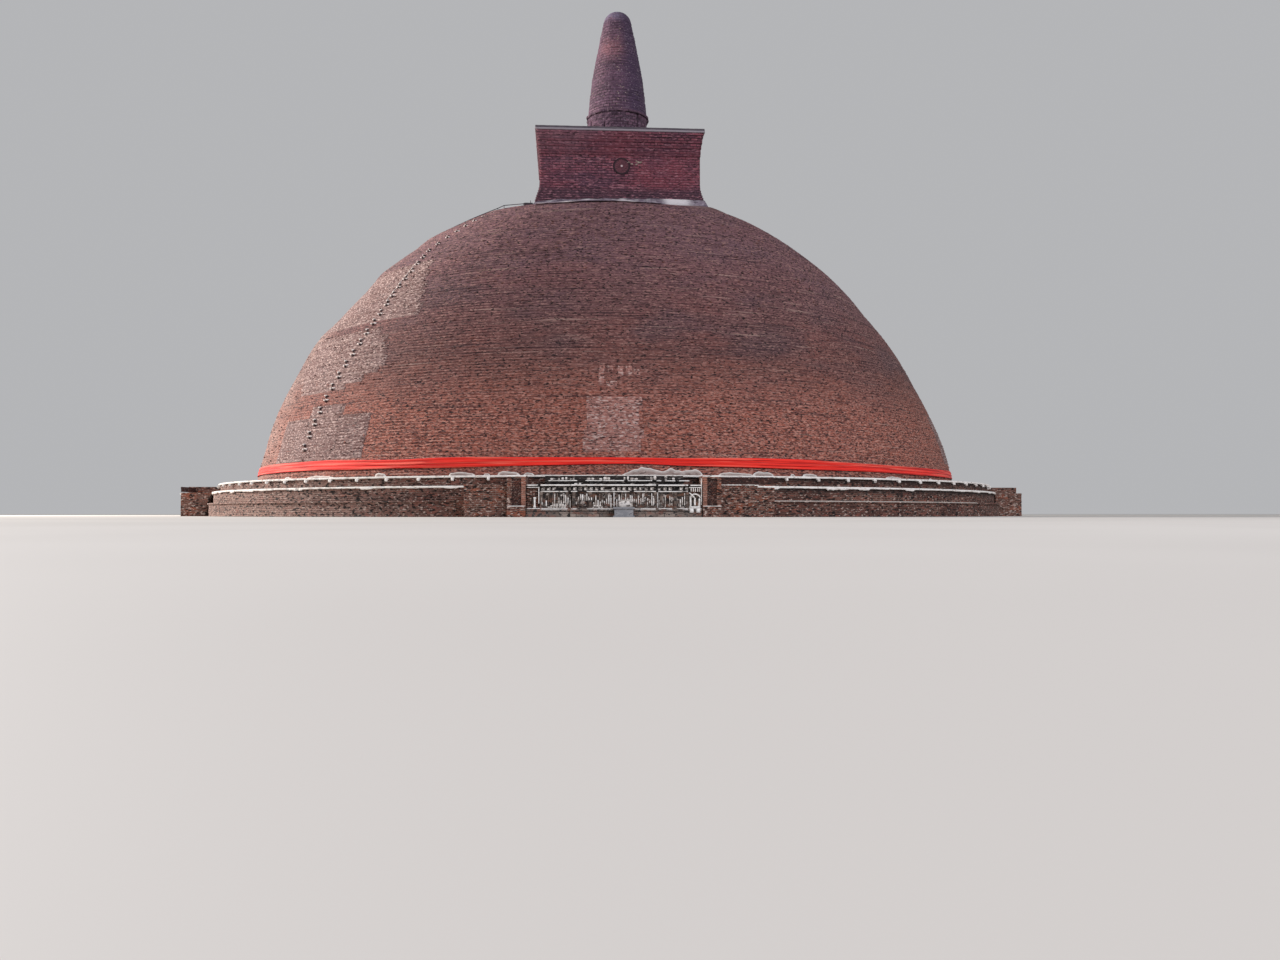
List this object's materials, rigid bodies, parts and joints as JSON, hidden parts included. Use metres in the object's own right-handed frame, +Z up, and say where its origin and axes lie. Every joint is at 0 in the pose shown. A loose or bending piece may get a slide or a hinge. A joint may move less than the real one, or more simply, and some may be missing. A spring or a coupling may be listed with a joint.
{
  "type": "brick stupa, one-tenth scale model",
  "caption": "One-tenth scale model of a brick stupa: a solid dome on round terraces, with a square chamber, a blunt spire and a carved stone frontispiece on each side.",
  "frame": {"origin": "middle of the round terraces, at ground level", "axes": "+Z up; the front frontispiece faces -Y; +X is to the right for someone who faces the front"},
  "size_m": [11.7966, 11.7966, 7.5],
  "materials": {
    "dome_brick": "weathered fired brick in lime mortar",
    "chamber_brick": "dark weathered fired brick",
    "spire_brick": "weathered fired brick with old plaster",
    "terrace_brick": "rough fired brick",
    "lime_plaster": "stained lime plaster",
    "limestone": "weathered carved limestone",
    "red_cotton": "plain woven cotton"
  },
  "bodies": {
    "root": {"lower_terrace": "terrace_brick", "middle_terrace": "terrace_brick", "middle_coping": "lime_plaster", "upper_terrace": "terrace_brick", "upper_coping": "lime_plaster", "dome": "dome_brick", "dome_steps": "dome_brick", "prayer_cloth_front": "red_cotton", "prayer_cloth_back": "red_cotton", "crown_pad": "lime_plaster", "chamber_base": "chamber_brick", "chamber_body": "chamber_brick", "chamber_cornice": "chamber_brick", "chamber_slab": "lime_plaster", "disc_front": "chamber_brick", "disc_right": "chamber_brick", "disc_back": "chamber_brick", "disc_left": "chamber_brick", "spire_drum": "spire_brick", "drum_ledge": "spire_brick", "spire_cone": "spire_brick", "frontispiece_plinth_front": "limestone", "frontispiece_wall_front": "limestone", "frontispiece_cornice_front": "limestone", "brick_flank_left_front": "terrace_brick", "brick_flank_right_front": "terrace_brick", "flower_altar_front": "limestone", "frontispiece_plinth_right": "limestone", "frontispiece_wall_right": "limestone", "frontispiece_cornice_right": "limestone", "brick_flank_left_right": "terrace_brick", "brick_flank_right_right": "terrace_brick", "flower_altar_right": "limestone", "frontispiece_plinth_back": "limestone", "frontispiece_wall_back": "limestone", "frontispiece_cornice_back": "limestone", "brick_flank_left_back": "terrace_brick", "brick_flank_right_back": "terrace_brick", "flower_altar_back": "limestone", "frontispiece_plinth_left": "limestone", "frontispiece_wall_left": "limestone", "frontispiece_cornice_left": "limestone", "brick_flank_left_left": "terrace_brick", "brick_flank_right_left": "terrace_brick", "flower_altar_left": "limestone"}
  },
  "joints": []
}
